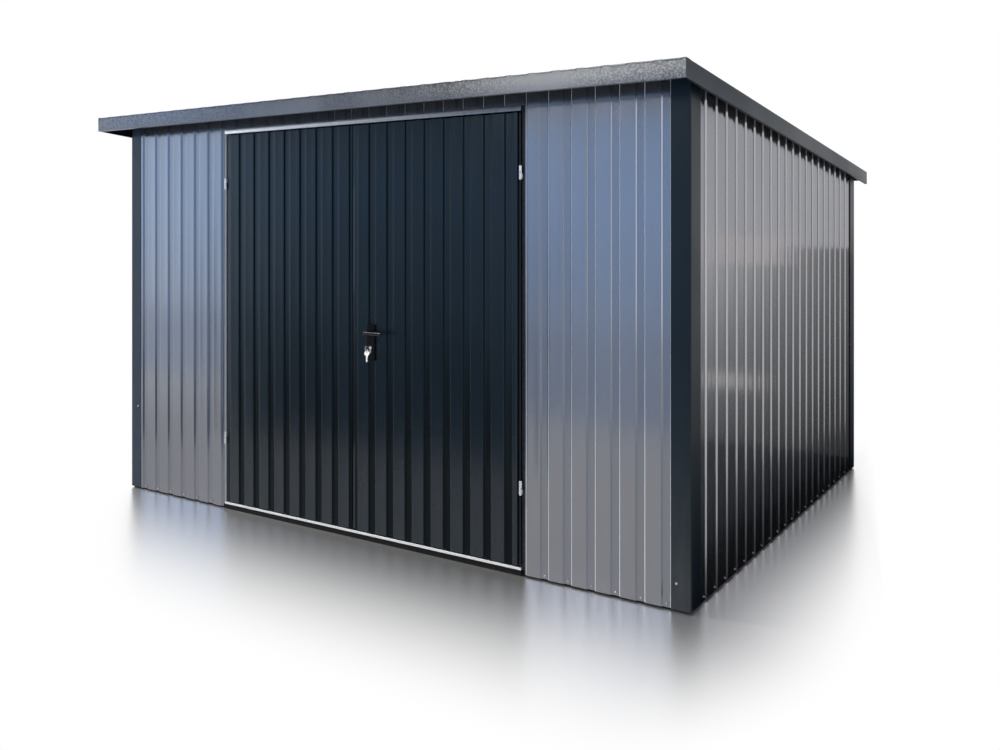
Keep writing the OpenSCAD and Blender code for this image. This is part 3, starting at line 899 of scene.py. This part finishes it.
def key(hole, blade):
    """Key with a round bow, its blade pointing to -b and cut on one edge."""
    turn = [2 * math.pi * i / BOW_POINTS for i in range(BOW_POINTS)]
    rim = [(BOW * math.cos(t), BOW * math.sin(t)) for t in turn]
    eye = [(hole[0] + BOW_HOLE * math.cos(t), hole[1] + BOW_HOLE * math.sin(t)) for t in turn]
    steps = [BOW - BLADE_ROOT + blade * i / (CUTS - 1) for i in range(CUTS)]
    cuts = [BLADE_HALF - CUT * (i % 3) * (i > 2) for i in range(CUTS)]
    back = [(-BLADE_HALF, -d) for d in steps]
    edge = [(c, -d) for c, d in zip(cuts, steps)]
    return joined(slab(rim, eye, True), slab(back, edge, False))


def ring():
    """Wire ring in the xz plane."""
    verts, faces, around, across = [], [], 40, 10
    for i in range(around):
        t = 2 * math.pi * i / around
        for j in range(across):
            s = 2 * math.pi * j / across
            r = RING + WIRE * math.cos(s)
            verts.append((r * math.cos(t), WIRE * math.sin(s), r * math.sin(t)))
            k, m = (i + 1) % around, (j + 1) % across
            faces.append((i * across + j, k * across + j, k * across + m, i * across + m))
    return verts, faces


def keys():
    """The key in the lock, the ring, and the second key that hangs on it a little turned."""
    inserted = Matrix(((0, 0, 1, LOCK_X), (0, -1, 0, KEY_Y), (1, 0, 0, CYLINDER_Z), (0, 0, 0, 1)))
    hanging = Matrix(((0, 0, 1, 0), (1, 0, 0, 0), (0, 1, 0, 0), (0, 0, 0, 1)))
    low = Matrix.Translation((LOCK_X, KEY_Y, LOW_KEY_Z)) @ Matrix.Rotation(KEY_TURN, 4, "Z")
    parts = [moved(key((-HOLE_OFF, 0.0), BLADE), inserted),
             moved(ring(), Matrix.Translation((LOCK_X, KEY_Y, RING_Z))),
             moved(key((0.0, HOLE_OFF), LOW_BLADE), low @ hanging)]
    made = piece("keys_cut", *joined(*parts), "right_door", "nickel", ("keys",))
    soften(made, 0.0004, 50)


keys()


# Screws

def screw():
    """Hexagon head on a flange with its sealing washer, its axis along z."""
    seal = lathe([(0.0052, 0.0), (0.0055, 0.0005), (0.0052, 0.0012)], 16)
    flange = lathe([(0.0048, 0.0012), (0.0049, 0.0018), (0.0040, 0.0024)], 16)
    head = lathe([(0.0037, 0.0024), (0.0037, 0.0050), (0.0030, 0.0057)], 6)
    return joined(seal, flange, head)


def screw_row(name, slot, places, facing):
    """Screws at the given places, their heads facing one way."""
    turn = Vector(facing).to_track_quat("Z", "Y").to_matrix().to_4x4()
    parts = []
    for i, p in enumerate(places):
        spin = Matrix.Rotation(i * 0.7, 4, "Z")
        parts.append(moved(screw(), Matrix.Translation(p) @ turn @ spin))
    piece(name, *joined(*parts), "shed", slot)


def grooves_between(low, high, centre, margin):
    """Middles of the grooves that lie between two ends, inside a margin."""
    first = math.ceil((low + margin - centre) / PITCH)
    last = math.floor((high - margin - centre) / PITCH)
    return [centre + k * PITCH for k in range(first, last + 1)]


# Height of the screws at the foot of the walls, and margins at the ends of a row
FOOT, MARGIN, SIDE_MARGIN = 0.0215, 0.03, 0.10
# Distance of a trim's screw from the corner, and the heights of the right and left ones
TRIM_SCREW, RIGHT_SCREW_Z, LEFT_SCREW_Z = 0.060, 0.110, 0.470


def foot_screws():
    """A screw at the foot of every groove of the walls."""
    front = []
    for name in ("front_left_wall", "front_right_wall"):
        low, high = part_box(name)
        front += grooves_between(low.x, high.x, FRONT_GROOVE, MARGIN)
    screw_row("front_screws", "galvanised", [(u, FRONT_FACE + DEPTH, FOOT) for u in front],
              (0, -1, 0))
    low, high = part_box("right_wall")
    for side, label in ((-1, "left"), (1, "right")):
        along = grooves_between(low.y, high.y, SIDE_GROOVE, SIDE_MARGIN)
        screw_row(label + "_screws", "galvanised",
                  [(side * (SIDE_FACE - DEPTH), u, FOOT) for u in along], (side, 0, 0))
    low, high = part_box("back_wall")
    along = grooves_between(low.x, high.x, FRONT_GROOVE, MARGIN)
    screw_row("back_screws", "galvanised", [(u, BACK_FACE - DEPTH, FOOT) for u in along],
              (0, 1, 0))


def trim_screws():
    """The two screws that show in the front corner trims."""
    x = FRONT_CORNER.x + TRIM_SCREW
    screw_row("trim_screws", "galvanised",
              [(-x, FRONT_CORNER.y, RIGHT_SCREW_Z), (x, FRONT_CORNER.y, LEFT_SCREW_Z)],
              (0, -1, 0))


def roof_screws():
    """Screws through every second rib into the rails and purlins."""
    low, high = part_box("roof_sheet")
    first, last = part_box("front_top_rail")[0].y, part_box("back_top_rail")[1].y
    cos, sin = math.cos(ROOF_ANGLE), math.sin(ROOF_ANGLE)
    inset, ribs = 0.0125, range(-14, 15, 2)
    rows = [first + inset] + [first + i * (last - first) / 3 for i in (1, 2)] + [last - inset]
    places = []
    for y in rows:
        v = (y - low.y - DEPTH * sin) / cos
        z = high.z - (DEPTH + SHEET) * cos - v * sin + DEPTH * cos
        places += [(ROOF_GROOVE + k * PITCH, y, z) for k in ribs]
    screw_row("roof_screws", "anthracite_trim", places, (0, sin, cos))


foot_screws()
trim_screws()
roof_screws()


# Camera, light and floor

def camera():
    """Camera fitted to the photo, level, with its picture shifted off the axis."""
    data = bpy.data.cameras.new("camera")
    data.sensor_width, data.lens = 36.0, 32.65
    data.sensor_fit = "HORIZONTAL"
    data.shift_x, data.shift_y = -0.093, -0.1443
    made = bpy.data.objects.new("camera", data)
    made.location = (3.1629, -4.4162, 1.475)
    made.rotation_euler = (math.radians(90), 0, math.radians(29.98))
    bpy.context.scene.collection.objects.link(made)
    bpy.context.scene.camera = made


def lamp(name, kind, place, towards, power, colour, lights=True, **settings):
    """Lamp that the camera doesn't see. Without lights, it shows in reflections only."""
    data = bpy.data.lights.new(name, kind)
    data.energy, data.color = power, colour
    for key, value in settings.items():
        setattr(data, key, value)
    made = bpy.data.objects.new(name, data)
    made.location = place
    aim = Vector(towards) - Vector(place)
    made.rotation_euler = aim.to_track_quat("-Z", "Y").to_euler()
    made.visible_camera, made.visible_diffuse = False, lights
    bpy.context.scene.collection.objects.link(made)


def seen(tree):
    """1 for rays that show the background: camera, glossy and transmission rays."""
    path = node(tree, "LightPath").outputs
    both = maths(tree, "MAXIMUM", path["Is Camera Ray"], path["Is Glossy Ray"])
    return maths(tree, "MAXIMUM", both, path["Is Transmission Ray"])


def world():
    """Soft even light that shows as white behind the shed."""
    made = bpy.data.worlds.new("studio")
    made.use_nodes = True
    tree = made.node_tree
    tree.nodes.clear()
    soft = node(tree, "Background", {"Color": rgb(0.88, 0.96, 1.08), "Strength": 0.10})
    white = node(tree, "Background", {"Color": rgb(1, 1, 1), "Strength": 1.0})
    both = node(tree, "MixShader", {0: seen(tree), 1: soft.outputs[0], 2: white.outputs[0]})
    node(tree, "OutputWorld", {"Surface": both.outputs[0]})
    bpy.context.scene.world = made


def empty_material(name):
    """Material with an empty tree, the tree, and the place of the point that is shaded."""
    made = bpy.data.materials.new(name)
    made.use_nodes = True
    tree = made.node_tree
    tree.nodes.clear()
    place = node(tree, "NewGeometry").outputs["Position"]
    return made, tree, place


def shed_distance(tree, axes):
    """Distance of the floor from the shed's outline, longer at its sides."""
    middle, half = (BACK_CORNER + FRONT_CORNER) / 2, (BACK_CORNER - FRONT_CORNER) / 2
    reach = []
    for axis, scale in (("X", 1.62), ("Y", 1.0)):
        k = "XY".index(axis)
        off = maths(tree, "ABSOLUTE", maths(tree, "SUBTRACT", axes[axis], middle[k]))
        past = maths(tree, "MAXIMUM", maths(tree, "SUBTRACT", off, half[k]), 0.0)
        past = times(tree, past, scale)
        reach.append(times(tree, past, past))
    return maths(tree, "SQRT", maths(tree, "ADD", *reach))


def right_distance(tree, axes):
    """Distance of the floor from a line that turns away from the right wall towards the front."""
    across = maths(tree, "MULTIPLY_ADD", axes["X"], 0.9706, -1.7072)
    return maths(tree, "MULTIPLY_ADD", axes["Y"], 0.2406, across)


def painted_shade_strip(tree, axes):
    """Share of the strip beside the right wall that is painted dark for glossy rays: painted shade of
    the ground, which mirrors dark in that wall.
    """
    share = times(tree, spread(tree, axes["X"], 0.0, 1.0, 1.70, 1.74),
                  spread(tree, axes["X"], 1.0, 0.0, 1.92, 2.45))
    return times(tree, share, spread(tree, axes["Y"], 0.0, 1.0, -1.4, -1.2))


def floor_material():
    """Pale floor: glossy near the shed, where it holds its shadow and mirror image, with painted shade
    beside the right wall in reflections, and white farther off."""
    made, tree, place = empty_material("pale_floor")
    axes = node(tree, "SeparateXYZ", {0: place}).outputs
    path = node(tree, "LightPath").outputs
    tone = mixed(tree, cloud(tree, place, 3.0, 3.0), rgb(0.78, 0.78, 0.78), rgb(0.82, 0.82, 0.82))
    # Painted shade on the floor beside the right wall, seen only in reflections
    mirrored = times(tree, painted_shade_strip(tree, axes), path["Is Glossy Ray"])
    tone = mixed(tree, mirrored, tone, rgb(0.02, 0.02, 0.02))
    dull = node(tree, "BsdfDiffuse", {"Color": tone})
    gloss = node(tree, "BsdfGlossy", {"Color": rgb(0.95, 0.95, 0.95), "Roughness": 0.28})
    mirror = times(tree, path["Is Camera Ray"], 0.96)
    near = node(tree, "MixShader", {0: mirror, 1: dull.outputs[0], 2: gloss.outputs[0]})
    white = node(tree, "Emission", {"Color": rgb(1, 1, 1), "Strength": 1.0})
    away = shed_distance(tree, axes)
    close = maths(tree, "MAXIMUM", spread(tree, away, 0.02, 1.0, 0.0, 1.08, "SMOOTHSTEP"),
                  spread(tree, right_distance(tree, axes), 0.0, 1.0, 0.32, 0.42))
    close = times(tree, close, path["Is Camera Ray"])
    far = times(tree, spread(tree, away, 0.0, 1.0, 3.0, 6.0), seen(tree))
    fade = maths(tree, "MAXIMUM", close, far)
    both = node(tree, "MixShader", {0: fade, 1: near.outputs[0], 2: white.outputs[0]})
    node(tree, "OutputMaterial", {"Surface": both.outputs[0]})
    return made


def floor():
    mesh = bpy.data.meshes.new("floor")
    work = bmesh.new()
    bmesh.ops.create_circle(work, cap_ends=True, segments=48, radius=40.0)
    work.to_mesh(mesh)
    work.free()
    mesh.materials.append(floor_material())
    made = bpy.data.objects.new("floor", mesh)
    bpy.context.scene.collection.objects.link(made)


def card(name, corners, low_tone, high_tone=None, heights=(0.0, 1.0), across=None, lights=False):
    """Studio card, seen in reflections but not by the camera. Its tone changes between two
    heights, and its strength across where asked."""
    material, tree, place = empty_material(name)
    axes = node(tree, "SeparateXYZ", {0: place}).outputs
    height = spread(tree, axes["Z"], 0.0, 1.0, *heights)
    colour = mixed(tree, height, low_tone, high_tone or low_tone)
    strength = spread(tree, axes["X"], *across) if across else 1.0
    glow = node(tree, "Emission", {"Color": colour, "Strength": strength})
    node(tree, "OutputMaterial", {"Surface": glow.outputs[0]})
    mesh = bpy.data.meshes.new(name)
    mesh.from_pydata(corners, [], [(0, 1, 2, 3)])
    mesh.materials.append(material)
    made = bpy.data.objects.new(name, mesh)
    made.visible_camera = made.visible_shadow = False
    made.visible_diffuse = lights
    bpy.context.scene.collection.objects.link(made)


def upright(x0, y0, x1, y1, low, high):
    """Corners of an upright card between two places on the floor."""
    return [(x0, y0, low), (x1, y1, low), (x1, y1, high), (x0, y0, high)]


# Plane of the front cards, and where the door's two edges mirror in it
PLANE, DOOR_LEFT, DOOR_RIGHT = -6.5, -7.62, -2.72
FAR_LEFT, CARD_LOW, CARD_HIGH = -10.2, 0.05, 2.9


def front_card(name, left, right, low, high, *look, ahead=0.0, **more):
    """Card in the plane of the front cards, or a little ahead of it."""
    card(name, upright(left, PLANE + ahead, right, PLANE + ahead, low, high), *look, **more)


def front_cards():
    """Sky, clouds and a dark line under the eaves, which the front mirrors."""
    blue, pale = rgb(0.55, 0.77, 1.19), rgb(0.55, 0.66, 0.87)
    eave, cloudy, white = rgb(0.12, 0.115, 0.115), rgb(4.5, 4.42, 4.35), rgb(1.0, 0.99, 0.97)
    left_end = (1.5, 1.0, DOOR_LEFT, -5.0)
    front_card("sky_card", DOOR_LEFT, 2.0, CARD_LOW, CARD_HIGH, pale, blue, (0.2, 1.6),
               left_end, True)
    front_card("door_card", DOOR_LEFT, DOOR_RIGHT, CARD_LOW, CARD_HIGH, rgb(0.30, 0.36, 0.46),
               rgb(0.44, 0.62, 0.96), (0.6, 2.3), left_end, ahead=0.01)
    front_card("eave_card", DOOR_LEFT, DOOR_RIGHT, 2.66, 3.20, eave, ahead=0.02)
    front_card("eave_right", DOOR_RIGHT, 1.0, 2.74, 3.15, eave, ahead=0.02)
    front_card("bright_card", FAR_LEFT, DOOR_LEFT, CARD_LOW, CARD_HIGH, rgb(0.88, 1.00, 1.24),
               rgb(0.92, 1.18, 1.58), (0.2, 1.8), (1.8, 1.0, FAR_LEFT, -9.2), True)
    front_card("upper_card", FAR_LEFT, -3.9, 3.1, 5.6, blue, across=(2.6, 0.05, -8.4, -6.9),
               lights=True)
    front_card("cloud_left", -3.9, -2.3, 3.15, 4.8, cloudy, across=(0.0, 1.2, -3.7, -2.5))
    front_card("cloud_right", -2.3, 0.6, 3.15, 4.8, cloudy, across=(1.2, 0.64, -2.3, -1.2))
    front_card("strip_card", -7.6, -2.8, 2.76, 2.94, white, across=(1.5, 0.5, -7.6, -3.2),
               ahead=0.05)


# Plane of the haze cards' tops, and their heights
HAZE_Y, HAZE_LOW, HAZE_HIGH = -3.9, 0.02, 0.72


def haze_cards():
    """Bright ground far off, dimmer before the door: the foot's ends and place, the top's ends."""
    for name, foot, foot_y, top, tone in (
            ("haze_left", (-6.0, -4.39), HAZE_Y, (-6.0, -4.39), (0.78, 0.90, 1.14)),
            ("haze_middle", (-2.46, 0.145), -2.4, (-4.39, -0.89), (0.20, 0.23, 0.29)),
            ("haze_right", (-0.89, 1.3), HAZE_Y, (-0.89, 1.3), (0.53, 0.62, 0.82))):
        corners = [(foot[0], foot_y, HAZE_LOW), (foot[1], foot_y, HAZE_LOW),
                   (top[1], HAZE_Y, HAZE_HIGH), (top[0], HAZE_Y, HAZE_HIGH)]
        card(name, corners, rgb(*(0.87 * c for c in tone)), rgb(*tone), (0.0, 0.8))


def leaning(x0, x1, foot_y, top_y, low, high):
    """Corners of a card whose top leans back."""
    return [(x0, foot_y, low), (x1, foot_y, low), (x1, top_y, high), (x0, top_y, high)]


def side_cards():
    """Dusk in front of the right wall, and shade and glows behind it."""
    card("dusk_card", upright(2.0, PLANE, 5.0, -5.9, 0.02, 3.6), rgb(0.32, 0.38, 0.47))
    card("shade_card", leaning(1.82, 3.9, 1.45, 2.6, 0.02, 1.34), rgb(0.18, 0.18, 0.18),
         rgb(0.67, 0.66, 0.65), (0.0, 1.1), (0.44, 1.56, 2.0, 3.1))
    card("glow_card", leaning(2.58, 2.95, 1.68, 1.80, 0.27, 0.44), rgb(1.25, 1.18, 1.12))
    card("back_card", upright(2.4, 6.0, 5.6, 6.0, 1.2, 3.0), rgb(1.13, 1.11, 1.12))
    card("back_dim", upright(2.4, 6.0, 5.6, 6.0, 3.0, 5.6), rgb(0.46, 0.49, 0.58))
    card("glow_high", upright(2.27, 1.617, 2.89, 1.617, 1.24, 1.44), rgb(1.35, 1.22, 1.17))


camera()
world()
floor()
lamp("key", "SUN", (-5.73, -1.07, 8.13), (0, 0, 0), 3.1, (1.0, 0.97, 0.93),
     angle=math.radians(3))
lamp("side_box", "AREA", (6.6, -3.9, 1.9), (1.4, -0.9, 1.9), 26.0, (0.94, 0.98, 1.06), False,
     shape="RECTANGLE", size=2.0, size_y=3.0)
front_cards()
haze_cards()
side_cards()
bpy.context.scene.view_settings.view_transform = "Standard"
